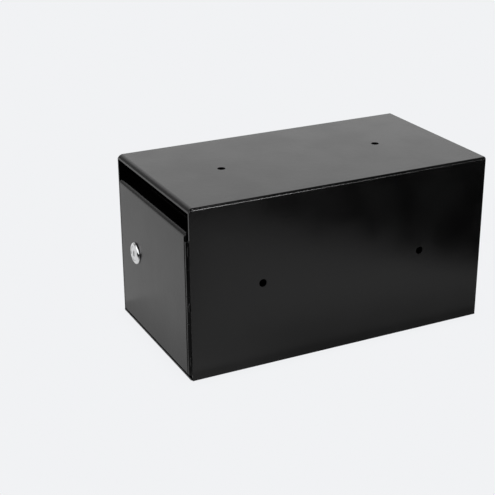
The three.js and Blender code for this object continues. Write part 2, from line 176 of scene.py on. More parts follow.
def circle(centre, radius, plane, steps=HOLE_STEPS):
    """Points round a circle. plane names the two axes that it lies in."""
    points = []
    for i in range(steps):
        angle = TURN * i / steps
        point = Vector(centre)
        point[plane[0]] += radius * math.cos(angle)
        point[plane[1]] += radius * math.sin(angle)
        points.append(point)
    return points


def fold_angles():
    return [QUARTER * i / FOLD_STEPS for i in range(FOLD_STEPS + 1)]


# ---------------------------------------------------------------- sheets


def wrap_point(side, across, along, inset):
    """A point on the rounded front corner. across turns from the top to the side, along from the top to the
    front. inset is 0 on the outer skin and a sheet's thickness on the inner one."""
    fold = WRAP_FOLD - inset
    roll = WRAP_ROLL - inset
    x = WRAP_HIGH.x - WRAP_FOLD + fold * math.sin(across)
    y = WRAP_LOW.y + inset + roll * (1 - math.sin(along))
    drop = fold * (1 - math.cos(across))
    z = WRAP_HIGH.z - WRAP_ROLL + (roll - drop) * math.cos(along)
    return Vector((side * x, y, z))


def across_angles():
    """The long fold's angles. One of them ends at the side sheet's inner face."""
    return sorted([*fold_angles(), math.asin(1 - SHEET / WRAP_FOLD)])


def at_back(point):
    return Vector((point.x, WRAP_HIGH.y, point.z))


def mount_holes(place, plane):
    """The two fixing holes of one wall. place gives a hole's centre from its y."""
    ys = (-MOUNT_HOLE_SPACING / 2, MOUNT_HOLE_SPACING / 2)
    return [circle(place(y), MOUNT_HOLE_R, plane) for y in ys]


def wrap_skin(bm, inset):
    """One skin of the wrap. Returns its holes' loops."""
    alongs = fold_angles()
    acrosses = across_angles()
    high = WRAP_HIGH - Vector((inset, 0, inset))
    loops = []
    for side in (-1, 1):
        grid(bm, [[wrap_point(side, across, along, inset) for across in acrosses] for along in alongs])
        bend = [wrap_point(side, across, 0, inset) for across in acrosses]
        grid(bm, [bend, [at_back(point) for point in bend]])
        corner = [wrap_point(side, QUARTER, along, inset) for along in alongs]
        foot = [Vector((side * high.x, WRAP_LOW.y, 0)), Vector((side * high.x, WRAP_HIGH.y, 0))]
        step = [Vector((side * high.x, WRAP_LOW.y, corner[-1].z))] if inset else []
        holes = mount_holes(lambda y: (side * high.x, y, WRAP_HIGH.z / 2), (1, 2))
        fill(bm, [foot + [at_back(corner[0])] + corner + step] + holes)
        loops += holes
    grid(bm, [[wrap_point(side, 0, along, inset) for side in (-1, 1)] for along in alongs])
    front = [wrap_point(side, 0, 0, inset) for side in (-1, 1)]
    holes = mount_holes(lambda y: (0, y, high.z), (0, 1))
    fill(bm, [front + [at_back(point) for point in reversed(front)]] + holes)
    return loops + holes


def bend_at_back(side, inset):
    return [at_back(wrap_point(side, across, 0, inset)) for across in across_angles()]


def side_cut_edges(bm, side):
    """One side's cut edges: at the back, along its foot, down its front and under its end of the lip."""
    inner_x = WRAP_HIGH.x - SHEET
    outer_foot, inner_foot = [
        [Vector((side * x, y, 0)) for y in (WRAP_LOW.y, WRAP_HIGH.y)] for x in (WRAP_HIGH.x, inner_x)
    ]
    outer_back = bend_at_back(side, 0) + [outer_foot[1]]
    inner_back = bend_at_back(side, SHEET) + [inner_foot[1]]
    grid(bm, [outer_back, inner_back])
    grid(bm, [outer_foot, inner_foot])
    outer_lip = [wrap_point(side, across, QUARTER, 0) for across in across_angles()]
    inner_lip = [wrap_point(side, across, QUARTER, SHEET) for across in across_angles()]
    over_side = [point for point in outer_lip if abs(point.x) > inner_x - TOUCH]
    over_slot = [point for point in outer_lip if abs(point.x) < inner_x + TOUCH]
    fill(bm, [over_side + [outer_foot[0], inner_foot[0]]])
    fill(bm, [over_slot + list(reversed(inner_lip))])


def wrap_cut_edges(bm):
    """The sheet's cut edges: each side's, and the flat stretches between them at the lip and the back."""
    for side in (-1, 1):
        side_cut_edges(bm, side)
    grid(bm, [[wrap_point(side, 0, QUARTER, inset) for side in (-1, 1)] for inset in (0, SHEET)])
    grid(bm, [[at_back(wrap_point(side, 0, 0, inset)) for side in (-1, 1)] for inset in (0, SHEET)])


def line_holes(bm, outer_loops, inner_loops):
    """The walls of holes that go through both skins of a sheet."""
    for outer, inner in zip(outer_loops, inner_loops):
        grid(bm, [outer + outer[:1], inner + inner[:1]])


def build_wrap():
    bm = bmesh.new()
    line_holes(bm, wrap_skin(bm, 0), wrap_skin(bm, SHEET))
    wrap_cut_edges(bm)
    join_skin(bm, (0, 0, 1))
    wrap = make_piece("wrap_sheet", bm, "box", "powder_coat", ["body_wrap"])
    round_edges(wrap, CUT_EDGE)


class Tray:
    """A sheet with its four edges folded back from face to rim.

    folds lists the radii of the left, right, bottom and top folds, and corners those of the four corners,
    anticlockwise from the lower left.
    """

    def __init__(self, low, high, face, rim, folds, corners):
        self.low = low
        self.high = high
        self.face = face
        self.rim = rim
        self.inwards = math.copysign(1, rim - face)
        self.folds = folds
        self.corners = corners

    def ring(self, turn, inset):
        """The points all round the sheet where its folds have turned by one angle."""
        rest = 1 - math.sin(turn)
        depth = 1 - math.cos(turn)
        left, right, bottom, top = [radius - inset for radius in self.folds]
        ends = [(left, bottom, 1, 1), (right, bottom, -1, 1), (right, top, -1, -1), (left, top, 1, -1)]
        points = []
        for i, (beside, level, inwards_x, inwards_z) in enumerate(ends):
            edge_x = self.low.x if inwards_x > 0 else self.high.x
            edge_z = self.low.z if inwards_z > 0 else self.high.z
            radius = max(self.corners[i] - inset - min(beside, level) * rest, MIN_CORNER)
            reach_x = inset + beside * rest + radius
            reach_z = inset + level * rest + radius
            for angle in fold_angles():
                share = math.sin(angle) ** 2
                share = 1 - share if i % 2 else share
                fold = beside + (level - beside) * share
                spin = math.pi + i * QUARTER + angle
                points.append(Vector((
                    edge_x + inwards_x * reach_x + radius * math.cos(spin),
                    self.face + self.inwards * (inset + fold * depth),
                    edge_z + inwards_z * reach_z + radius * math.sin(spin),
                )))
        return points

    def skin(self, bm, inset, hole):
        """One skin. Returns its last ring, at the rim."""
        rings = [self.ring(turn, inset) for turn in fold_angles()]
        last = [Vector((point.x, self.rim, point.z)) for point in rings[-1]]
        rings.append(last)
        grid(bm, [points + points[:1] for points in rings])
        fill(bm, [rings[0]] + ([hole] if hole else []))
        return last

    def build(self, name, node, body, hole=None):
        """hole gives the points round an opening from their y."""
        bm = bmesh.new()
        loops = [hole(self.face + self.inwards * inset) if hole else None for inset in (0, SHEET)]
        rims = [self.skin(bm, inset, loop) for inset, loop in zip((0, SHEET), loops)]
        line_holes(bm, rims[:1], rims[1:])
        if hole:
            line_holes(bm, loops[:1], loops[1:])
        join_skin(bm, (0, -self.inwards, 0))
        tray = make_piece(name, bm, body, "powder_coat", [node])
        round_edges(tray, CUT_EDGE)


def double_d(radius, flat, y):
    """A round hole with a flat above and below, on the lock's axis."""
    points = circle((LOCK.x, y, LOCK.z), radius, (0, 2), LOCK_STEPS)
    for point in points:
        point.z = min(max(point.z, LOCK.z - flat), LOCK.z + flat)
    return points


def lock_hole(y):
    return double_d(BARREL_R + HOLE_FIT, BARREL_FLAT + HOLE_FIT, y)


def build_door():
    folds = [DOOR_FOLD, DOOR_FOLD, DOOR_FOLD, DOOR_TOP_FOLD]
    tray = Tray(DOOR_LOW, DOOR_HIGH, DOOR_LOW.y, DOOR_HIGH.y, folds, [DOOR_CORNER] * 4)
    tray.build("door_sheet", "door_panel", "door", lock_hole)


def build_back():
    top_corner = WRAP_FOLD - SHEET
    corners = [MIN_CORNER, MIN_CORNER, top_corner, top_corner]
    tray = Tray(BACK_LOW, BACK_HIGH, BACK_HIGH.y, BACK_LOW.y, [PANEL_FOLD] * 4, corners)
    tray.build("back_sheet", "back_panel", "box")


RAMP_LENGTH = 62.0
RAMP_SLOPE = math.radians(20)
RAMP_FLANGE = 8.0
RAMP_FOLD = 2.0


def ramp_section(half_width, inset):
    """A channel's section, as (x, depth below the ramp's face), from one flange's foot to the other's."""
    radius = RAMP_FOLD - inset
    right = []
    for angle in fold_angles():
        x = half_width - RAMP_FOLD + radius * math.sin(angle)
        right.append((x, RAMP_FOLD - radius * math.cos(angle)))
    right.append((right[-1][0], RAMP_FLANGE))
    left = [(-x, depth) for x, depth in reversed(right)]
    return left + right


def build_ramp():
    """The folded ramp that leads from the slot down into the box."""
    low, high = span("slot_baffle")
    along = Vector((0, math.cos(RAMP_SLOPE), -math.sin(RAMP_SLOPE)))
    down = Vector((0, -math.sin(RAMP_SLOPE), -math.cos(RAMP_SLOPE)))
    start = Vector((0, low.y + RAMP_FLANGE * math.sin(RAMP_SLOPE), high.z))

    def row(inset, distance):
        section = ramp_section(high.x, inset)
        return [start + Vector((x, 0, 0)) + down * depth + along * distance for x, depth in section]

    bm = bmesh.new()
    outer, inner = [[row(inset, distance) for distance in (0, RAMP_LENGTH)] for inset in (0, SHEET)]
    grid(bm, outer)
    grid(bm, inner)
    for end in (0, 1):
        grid(bm, [outer[end], inner[end]])
    for foot in (0, -1):
        grid(bm, [[rows[foot] for rows in outer], [rows[foot] for rows in inner]])
    join_skin(bm, (0, 0, 1))
    ramp = make_piece("slot_ramp", bm, "box", "powder_coat", ["slot_baffle"])
    round_edges(ramp, CUT_EDGE)


# ---------------------------------------------------------------- hinge


def leaf_path(side, rim_y):
    """A leaf seen from above: its plate, then its curl round the pin."""
    plate_x = HINGE_AXIS.x + side * HINGE_R
    plate_start = HINGE_AXIS.y + HINGE_R + KNUCKLE_GAP
    path = [Vector((plate_x, rim_y, 0)), Vector((plate_x, plate_start, 0))]
    for i in range(CURL_STEPS + 1):
        angle = CURL_END * i / CURL_STEPS
        x = HINGE_AXIS.x + side * HINGE_R * math.cos(angle)
        y = HINGE_AXIS.y - HINGE_R * math.sin(angle)
        path.append(Vector((x, y, 0)))
    return path


def knuckle_spans(first):
    """The lowest and highest z of every second knuckle."""
    starts = [HINGE_BOTTOM + i * KNUCKLE_PITCH for i in range(first, KNUCKLES, 2)]
    return [(start + KNUCKLE_GAP / 2, start + KNUCKLE_PITCH - KNUCKLE_GAP / 2) for start in starts]


def build_leaf(name, node, body, side, first):
    """A hinge leaf whose own knuckles are curled round the pin."""
    path = leaf_path(side, span(node)[1].y)
    own = knuckle_spans(first)
    levels = sorted({HINGE_BOTTOM, HINGE_TOP, *(z for knuckle in own for z in knuckle)})
    bm = bmesh.new()
    for bottom, top in zip(levels, levels[1:]):
        points = path if (bottom, top) in own else path[:2]
        grid(bm, [[point + Vector((0, 0, z)) for point in points] for z in (bottom, top)])
    join_skin(bm, (side, 0, 0))
    leaf = make_piece(name, bm, body, "powder_coat", [node])
    thicken(leaf, HINGE_LEAF)
    round_edges(leaf, LEAF_EDGE)


WELD_HALF_LENGTH = 4.2
WELD_R = 1.0
WELD_FLATNESS = 0.75  # its depth as a share of its width
WELD_INSET = 0.25  # from the side sheet's inner face to the bead's middle
WELD_PROUD = 0.4  # from the wrap's front edge to the bead's middle
WELD_LUMP = {"large": 0.22, "small": 0.1, "sway": 0.25}
WELD_PLACE = {"first": 0.55, "step": 0.03}  # how far up its knuckle each bead sits
WELD_ROWS = 60
WELD_STEPS = 28
WELD_TIP_R = 0.02


def weld_radius(share, place):
    """A weld bead's radius. share goes from -1 to 1 along it."""
    taper = math.sqrt(max(1 - abs(share) ** 3, 0.0))
    lump = WELD_LUMP["large"] * noise.noise(Vector((place.z * 0.75, 3.1, 0)))
    lump += WELD_LUMP["small"] * noise.noise(place * 1.9)
    return max(WELD_R * taper * (1 + lump), WELD_TIP_R)


def weld_row(middle, share):
    """The points round a bead at one place along it."""
    row = []
    for j in range(WELD_STEPS + 1):
        angle = TURN * (j % WELD_STEPS) / WELD_STEPS
        outwards = Vector((math.cos(angle), WELD_FLATNESS * math.sin(angle), 0))
        row.append(middle + outwards * weld_radius(share, middle + outwards))
    return row


def weld_bead(bm, centre):
    rows = []
    for i in range(WELD_ROWS + 1):
        share = 2 * i / WELD_ROWS - 1
        middle = centre + Vector((0, 0, share * WELD_HALF_LENGTH))
        middle.x += WELD_LUMP["sway"] * noise.noise(Vector((middle.z * 0.4, 0, 7.7)))
        rows.append(weld_row(middle, share))
    grid(bm, rows)


def build_welds():
    """Three tack welds between the hinge barrel and the side sheet's front edge."""
    bm = bmesh.new()
    x = WRAP_HIGH.x - SHEET - WELD_INSET
    y = WRAP_LOW.y - WELD_PROUD
    for knuckle in range(0, KNUCKLES, 2):
        up = WELD_PLACE["first"] + WELD_PLACE["step"] * knuckle
        weld_bead(bm, Vector((x, y, HINGE_BOTTOM + (knuckle + up) * KNUCKLE_PITCH)))
    join_skin(bm, (0, 0, 1))
    bmesh.ops.holes_fill(bm, edges=[edge for edge in bm.edges if edge.is_boundary])
    bmesh.ops.recalc_face_normals(bm, faces=bm.faces)
    make_piece("hinge_tack_welds", bm, "box", "powder_coat")


# ---------------------------------------------------------------- lock


def lathe(bm, profile, shape, steps=LOCK_STEPS):
    """Turns a closed profile of (radius, y) round the lock's axis. shape changes a radius by its angle."""
    rows = []
    for radius, y in profile + profile[:1]:
        row = []
        for i in range(steps + 1):
            angle = TURN * (i % steps) / steps
            reach = shape(radius, y, angle)
            row.append(Vector((LOCK.x + reach * math.cos(angle), y, LOCK.z + reach * math.sin(angle))))
        rows.append(row)
    grid(bm, rows)


def rounded(centre_radius, centre_y, radii, start, end, steps=8):
    """Points of a profile's rounded edge, from one angle to another. radii is its width and its depth."""
    points = []
    for i in range(steps + 1):
        angle = start + (end - start) * i / steps
        points.append((centre_radius + radii[0] * math.cos(angle), centre_y + radii[1] * math.sin(angle)))
    return points


THREAD_PITCH = 1.0
THREAD_DEPTH = 0.45
THREAD_SAMPLES = 8
THREAD_RUNOUT = 0.5  # the thread stops this far before the barrel's end
HEAD_R = (HOUSING_HIGH.x - HOUSING_LOW.x) / 2
HEAD_LIFT = 0.1  # between the head and the door's face
HEAD_EDGE = 0.15
FLANK_WIDE = 3.2  # the curved rim round the head's flat face
FLANK_DEEP = 1.85
BORE_R = 5.3
FACE_BORE_R = 6.2
COUNTERBORE_WALL = 0.5  # from the door's face forward to the wider bore for the plug's face
GROOVE_SETBACK = 0.2  # from the door's face back to the wafers' grooves
GROOVE_END = 0.02  # the depth over which the bore widens into them
GROOVE_HALF_WIDTH = 2.3
GROOVE_REACH = 6.1


def grooved_bore(angle):
    """The bore's radius where two grooves take the wafers' ends, one above and one at the right."""
    reach = BORE_R
    for along, across in ((math.sin(angle), math.cos(angle)), (math.cos(angle), math.sin(angle))):
        if along > 0:
            wall = GROOVE_HALF_WIDTH / max(abs(across), 0.01)
            reach = max(reach, min(GROOVE_REACH / along, wall))
    return reach


def housing_profile(face, door_face, end):
    """The housing's half section: its stepped bore, the head's face and curved rim, and the barrel."""
    seat = door_face - HEAD_LIFT
    groove = door_face + GROOVE_SETBACK
    counterbore = door_face - COUNTERBORE_WALL
    edge = (HEAD_EDGE, HEAD_EDGE)
    profile = [(BORE_R, end), (BORE_R, groove), (BORE_R, groove - GROOVE_END)]
    profile += [(BORE_R, counterbore), (FACE_BORE_R, counterbore)]
    profile += rounded(FACE_BORE_R + HEAD_EDGE, face + HEAD_EDGE, edge, math.pi, 1.5 * math.pi, 4)
    profile += rounded(HEAD_R - FLANK_WIDE, face + FLANK_DEEP, (FLANK_WIDE, FLANK_DEEP), -QUARTER, 0, 16)
    profile += rounded(HEAD_R - HEAD_EDGE, seat - HEAD_EDGE, edge, 0, QUARTER, 3)
    thread_start = door_face + SHEET
    profile += [(BARREL_R, seat), (BARREL_R, thread_start)]
    samples = int((end - THREAD_RUNOUT - thread_start) / THREAD_PITCH * THREAD_SAMPLES)
    profile += [(BARREL_R, thread_start + THREAD_PITCH * i / THREAD_SAMPLES) for i in range(1, samples)]
    return profile + [(BARREL_R - THREAD_DEPTH, end)]


def build_housing():
    """The lock's chrome head and its threaded barrel, with a flat above and below."""
    face, end = HOUSING_LOW.y, HOUSING_HIGH.y
    door_face = DOOR_LOW.y

    def cut(radius, y, angle):
        if radius == BORE_R and y >= door_face + GROOVE_SETBACK:
            return grooved_bore(angle)
        if radius < BARREL_R - THREAD_DEPTH or y < door_face - HEAD_LIFT + TOUCH:
            return radius
        if y > door_face + SHEET:
            phase = (y / THREAD_PITCH - angle / TURN) % 1
            radius -= THREAD_DEPTH * (0.5 + 0.5 * math.cos(TURN * phase))
        height = abs(math.sin(angle)) * radius
        return radius * BARREL_FLAT / height if height > BARREL_FLAT else radius

    bm = bmesh.new()
    lathe(bm, housing_profile(face, door_face, end), cut)
    join_skin(bm, (0, -1, 0))
    make_piece("lock_body_chrome", bm, "door", "chrome", ["lock_housing"])


NUT_CORNER_CHAMFER = 0.45  # depth of the cut corners, as a share of how far they stand out
NUT_LEAD = 0.45  # depth of the bore's countersinks
NUT_LEAD_WIDE = 0.6  # from the barrel out to the countersinks' edge
NUT_FIT = 0.12  # from the barrel out to the bore
NUT_EDGE = 0.12
NUT_FACE_LIP = 0.05  # how far each flat face reaches past the flats
NUT_STEPS = 96
SECTOR = math.pi / 3


def build_nut():
    """A hexagon nut with chamfered corners."""
    low, high = span("lock_nut")
    corner_r = (high.z - low.z) / 2
    flat_r = corner_r * math.cos(SECTOR / 2)
    chamfer = (corner_r - flat_r) * NUT_CORNER_CHAMFER

    def hexagon(radius, y, angle):
        if radius < flat_r:
            return radius
        from_flat = (angle - SECTOR / 2 - QUARTER) % SECTOR - SECTOR / 2
        return min(radius, flat_r / math.cos(from_flat))

    profile = [
        (flat_r + NUT_FACE_LIP, low.y),
        (corner_r, low.y + chamfer),
        (corner_r, high.y - chamfer),
        (flat_r + NUT_FACE_LIP, high.y),
        (BARREL_R + NUT_LEAD_WIDE, high.y),
        (BARREL_R + NUT_FIT, high.y - NUT_LEAD),
        (BARREL_R + NUT_FIT, low.y + NUT_LEAD),
        (BARREL_R + NUT_LEAD_WIDE, low.y),
    ]
    bm = bmesh.new()
    lathe(bm, profile, hexagon, NUT_STEPS)
    join_skin(bm, (0, 1, 0))
    nut = make_piece("lock_hex_nut", bm, "door", "zinc_steel", ["lock_nut"])
    round_edges(nut, NUT_EDGE, 2)


# ---------------------------------------------------------------- materials


class Nodes:
    """Adds nodes to a tree. An input is a plain value or another node's output."""

    def __init__(self, tree):
        self.tree = tree
        tree.nodes.clear()

    def add(self, kind, inputs=None, output=0, **settings):
        node = self.tree.nodes.new(kind)
        for name, value in settings.items():
            setattr(node, name, value)
        for name, value in (inputs or {}).items():
            if isinstance(value, bpy.types.NodeSocket):
                self.tree.links.new(value, node.inputs[name])
            else:
                node.inputs[name].default_value = value
        return node.outputs[output] if node.outputs else node

    def maths(self, operation, first, second=0.0):
        return self.add("ShaderNodeMath", {0: first, 1: second}, operation=operation)

    def ramp(self, value, low, high, start=0.0, end=1.0):
        """Eases from start to end as value goes from low to high."""
        inputs = {"Value": value, "From Min": low, "From Max": high, "To Min": start, "To Max": end}
        return self.add("ShaderNodeMapRange", inputs, interpolation_type="SMOOTHSTEP")

    def blend(self, share, first, second):
        inputs = {0: share, 6: first, 7: second}
        return self.add("ShaderNodeMix", inputs, output=2, data_type="RGBA")

    def noise(self, place, scale, detail=2.0):
        return self.add("ShaderNodeTexNoise", {"Vector": place, "Scale": scale, "Detail": detail})

    def worn_edges(self, place, radius):
        """1 on convex edges, broken up by noise, and 0 on flats."""
        flat = self.add("ShaderNodeNewGeometry", output="Normal")
        round_normal = self.add("ShaderNodeBevel", {"Radius": radius}, samples=4)
        likeness = self.add("ShaderNodeVectorMath", {0: flat, 1: round_normal}, output="Value",
                            operation="DOT_PRODUCT")
        edge = self.ramp(likeness, 0.995, 0.9)
        return self.maths("MULTIPLY", edge, self.ramp(self.noise(place, 260), 0.4, 0.62))


def new_material(name):
    material = bpy.data.materials.new(name)
    material.use_nodes = True
    nodes = Nodes(material.node_tree)
    place = nodes.add("ShaderNodeTexCoord", output="Object")
    return material, nodes, place


def surface(nodes, inputs):
    shader = nodes.add("ShaderNodeBsdfPrincipled", inputs)
    nodes.add("ShaderNodeOutputMaterial", {"Surface": shader})


COAT_DARK = (0.0006, 0.0006, 0.0007, 1)
COAT_LIGHT = (0.0011, 0.0011, 0.0012, 1)
COAT_WORN = (0.02, 0.02, 0.021, 1)
COAT_SCALE = {"patches": 28, "swell": 260, "peel": 620, "grain": 2600}
COAT_RELIEF = {"swell": 1.6, "grain": 0.12}  # heights, as shares of the orange peel's
COAT_ROUGHNESS = (0.2, 0.26)


def powder_coat():
    """Black semi-gloss coating with orange peel, a little dust and thin edges."""
    material, nodes, place = new_material("powder_coat")
    patches = nodes.noise(place, COAT_SCALE["patches"], 3)
    peel = nodes.noise(place, COAT_SCALE["peel"], 1.5)
    grain = nodes.noise(place, COAT_SCALE["grain"], 1)
    swell = nodes.noise(place, COAT_SCALE["swell"], 1)
    wear = nodes.worn_edges(place, 0.0005)
    height = nodes.maths("ADD", peel, nodes.maths("MULTIPLY", grain, COAT_RELIEF["grain"]))
    height = nodes.maths("ADD", height, nodes.maths("MULTIPLY", swell, COAT_RELIEF["swell"]))
    bump = nodes.add("ShaderNodeBump", {"Strength": 0.5, "Distance": 0.00006, "Height": height})
    colour = nodes.blend(nodes.ramp(patches, 0.35, 0.65), COAT_DARK, COAT_LIGHT)
    colour = nodes.blend(nodes.maths("MULTIPLY", wear, 0.5), colour, COAT_WORN)
    roughness = nodes.ramp(patches, 0.3, 0.7, *COAT_ROUGHNESS)
    roughness = nodes.maths("ADD", roughness, nodes.maths("MULTIPLY", wear, 0.12))
    surface(nodes, {"Base Color": colour, "Roughness": roughness, "Normal": bump, "IOR": 1.5})
    return material


BRIGHT_EDGE = (0.92, 0.92, 0.92, 1)


def metal(name, base, tint, roughness, scales, stretch):
    """A bare or plated metal: cloudy tint, fine lines in one direction and bright edges. The two scales are
    for the grain and the lines."""
    material, nodes, place = new_material(name)
    clouds = nodes.noise(place, 180, 3)
    stretched = nodes.add("ShaderNodeMapping", {"Vector": place, "Scale": stretch})
    grain = nodes.noise(place, scales[0], 2)
    lines = nodes.noise(stretched, scales[1], 2)
    wear = nodes.worn_edges(place, 0.0003)
    colour = nodes.blend(nodes.ramp(clouds, 0.35, 0.65), tint, base)
    colour = nodes.blend(nodes.maths("MULTIPLY", wear, 0.35), colour, BRIGHT_EDGE)
    rough = nodes.ramp(grain, 0.3, 0.7, roughness * 0.75, roughness * 1.35)
    height = nodes.maths("ADD", nodes.maths("MULTIPLY", lines, 0.7), nodes.maths("MULTIPLY", grain, 0.3))
    bump = nodes.add("ShaderNodeBump", {"Strength": 0.25, "Distance": 0.00001, "Height": height})
    surface(nodes, {"Base Color": colour, "Metallic": 1.0, "Roughness": rough, "Normal": bump})
    return material


ZINC = ((0.6, 0.62, 0.63, 1), (0.47, 0.49, 0.52, 1))
CHROME = ((0.93, 0.93, 0.94, 1), (0.87, 0.88, 0.89, 1))
BRASS = ((0.72, 0.56, 0.28, 1), (0.62, 0.46, 0.2, 1))
SPRING_WIRE = ((0.42, 0.43, 0.44, 1), (0.34, 0.35, 0.36, 1))

MATERIALS = {
    "powder_coat": powder_coat(),
    "zinc_steel": metal("zinc_steel", *ZINC, 0.36, (900, 700), (1, 1, 6)),
    "chrome": metal("chrome", *CHROME, 0.12, (1200, 900), (1, 4, 1)),
    "wafer_brass": metal("wafer_brass", *BRASS, 0.3, (1400, 900), (1, 1, 5)),
    "spring_steel": metal("spring_steel", *SPRING_WIRE, 0.3, (2400, 1500), (1, 1, 1)),
}


# ---------------------------------------------------------------- parts that keep their CAD shape


def smooth_shading():
    """A node group that shades its mesh smooth."""
    group = bpy.data.node_groups.new("smooth_shading", "GeometryNodeTree")
    group.interface.new_socket("Geometry", in_out="INPUT", socket_type="NodeSocketGeometry")
    group.interface.new_socket("Geometry", in_out="OUTPUT", socket_type="NodeSocketGeometry")
    start = group.nodes.new("NodeGroupInput")
    smooth = group.nodes.new("GeometryNodeSetShadeSmooth")
    end = group.nodes.new("NodeGroupOutput")
    group.links.new(start.outputs[0], smooth.inputs[0])
    group.links.new(smooth.outputs[0], end.inputs[0])
    return group


EDGE_WIDTHS = {"powder_coat": 0.25, "zinc_steel": 0.2, "chrome": 0.08, "wafer_brass": 0.06}


def finish_cad_nodes():
    """Gives every CAD node that still shows its finish, and rounds its sharp edges."""
    smooth_group = smooth_shading()
    for part in frame["record"]["subparts"]:
        node = frame["nodes"][part["node"]]
        if node.hide_render:
            continue
        slot = part["material_slot"]
        node.data.materials.clear()
        node.data.materials.append(MATERIALS[slot])
        weld = node.modifiers.new("weld", "WELD")
        weld.merge_threshold = TOUCH * MM
        flatten = node.modifiers.new("flatten", "DECIMATE")
        flatten.decimate_type = "DISSOLVE"
        flatten.angle_limit = math.radians(0.5)
        smooth = node.modifiers.new("smooth", "NODES")
        smooth.node_group = smooth_group
        if slot in EDGE_WIDTHS:
            round_edges(node, EDGE_WIDTHS[slot])


# ---------------------------------------------------------------- studio

PAPER = (0.879, 0.888, 0.905, 1)  # the pale floor and background, as the camera sees them
BASE_LIGHT = 0.025  # the dark studio, in reflections

# The edges of each bright place round the box, as parts of a direction. The light changes from the first
# value of a pair to the second.
WALL = {"x": (-0.1, -0.45), "y": (-0.42, 0.08), "top": (0.54, 0.66)}
WINDOW = {"x": (-0.6, -0.35), "y": (-0.1, -0.6), "foot": (0.02, 0.1), "head": (0.72, 0.88)}
STRIP = {
    "x": (0.7, 0.8),
    "near": (0.28, 0.34),
    "far": (0.48, 0.38),
    "foot": (-0.02, 0.02),
    "head": (0.16, 0.24),
}
BACK_WALL = {"x": (0.0, 0.3), "y": (0.58, 0.72)}


def split(nodes, vector):
    """A vector's x, y and z."""
    parts = nodes.tree.nodes.new("ShaderNodeSeparateXYZ")
    nodes.tree.links.new(vector, parts.inputs[0])
    return [parts.outputs[axis] for axis in "XYZ"]


def product(nodes, first, *others):
    """All the values multiplied together."""
    for other in others:
        first = nodes.maths("MULTIPLY", first, other)
    return first


def wall_light(nodes, x, y, z):
    """A bright wall at the left and behind, dimmer in front and dark at the top."""
    return product(
        nodes,
        nodes.ramp(x, *WALL["x"], 0.0, 0.93),
        nodes.ramp(y, *WALL["y"], 0.25, 1.0),
        nodes.ramp(z, *WALL["top"], 1.0, 0.05),
    )


def window_light(nodes, x, y, z):
    """A window in front."""
    return product(
        nodes,
        nodes.ramp(x, *WINDOW["x"]),
        nodes.ramp(y, *WINDOW["y"]),
        nodes.ramp(z, *WINDOW["foot"]),
        nodes.ramp(z, *WINDOW["head"], 1.25, 0.0),
    )


def strip_light(nodes, x, y, z):
    """A small bright strip low at the right."""
    return product(
        nodes,
        nodes.ramp(y, *STRIP["near"]),
        nodes.ramp(y, *STRIP["far"]),
        nodes.ramp(x, *STRIP["x"]),
        nodes.ramp(z, *STRIP["foot"]),
        nodes.ramp(z, *STRIP["head"], 26.0, 0.0),
    )


def back_light(nodes, x, y):
    """A wall behind, at the right."""
    return product(nodes, nodes.ramp(x, *BACK_WALL["x"]), nodes.ramp(y, *BACK_WALL["y"], 0.0, 0.7))


def build_world():
    """Even and pale to the camera. Reflections see a dark studio with four bright places."""
    world = bpy.data.worlds.new("studio")
    bpy.context.scene.world = world
    world.use_nodes = True
    nodes = Nodes(world.node_tree)
    x, y, z = split(nodes, nodes.add("ShaderNodeTexCoord", output="Generated"))
    reflected = nodes.maths("ADD", wall_light(nodes, x, y, z), window_light(nodes, x, y, z))
    others = nodes.maths("ADD", back_light(nodes, x, y), strip_light(nodes, x, y, z))
    reflected = nodes.maths("ADD", reflected, others)
    reflected = nodes.maths("ADD", reflected, BASE_LIGHT)
    camera = nodes.tree.nodes.new("ShaderNodeLightPath").outputs["Is Camera Ray"]
    colour = nodes.blend(camera, (1, 1, 1, 1), PAPER)
    strength = nodes.add("ShaderNodeMix", {0: camera, 2: reflected, 3: 1.0})
    background = nodes.add("ShaderNodeBackground", {"Color": colour, "Strength": strength})
    nodes.add("ShaderNodeOutputWorld", {"Surface": background})


FLOOR_REACH = 4.0
FLOOR_DROP = 0.0003  # keeps the floor clear of the box's underside


def build_floor():
    """A pale sweep. The camera sees it even, with a faint touch of shade at the box. Reflections see the
    light fall off towards the back right, where the studio is dark."""
    bm = bmesh.new()
    bmesh.ops.create_grid(bm, x_segments=8, y_segments=8, size=FLOOR_REACH)
    mesh = bpy.data.meshes.new("floor")
    bm.to_mesh(mesh)
    bm.free()
    mesh.materials.append(floor_material())
    floor = bpy.data.objects.new("floor", mesh)
    floor.location.z = -FLOOR_DROP
    bpy.context.scene.collection.objects.link(floor)


# Where the floor's brightness changes in reflections, in metres. A gap is measured out from the box's edge.
FLOOR_LEVEL = {"x": (0.03, 0.12), "left": 0.66, "right": 0.5}
BESIDE_SHADE = {"gap": (0.0, 0.11), "y": (-0.14, 0.0), "depth": 0.45}
FRONT_SHADE = {"gap": (0.0, 0.05), "side_gap": (0.0, 0.02), "left_over": 0.66}
BACK_DARK = {"diagonal": (0.272, 0.366), "x": (0.1, 0.2), "slant": 0.7, "depth": 0.975}
RIGHT_SHADE = {"line": (0.405, 0.44), "x": (-0.03, 0.02), "slant": 2.32, "depth": 0.75}
FRONT_DARK = {"y": (-0.25, -0.36), "x": (-0.25, -0.12)}
LEFT_GLOW = {"x": (-0.4, -0.9), "strength": 1.4}


def inverse(nodes, share):
    return nodes.maths("SUBTRACT", 1.0, share)


def gap_from_box(nodes, place, half_size):
    """How far a place lies past the box's edge, in metres. half_size is in millimetres."""
    return nodes.maths("SUBTRACT", nodes.maths("ABSOLUTE", place), half_size * MM)


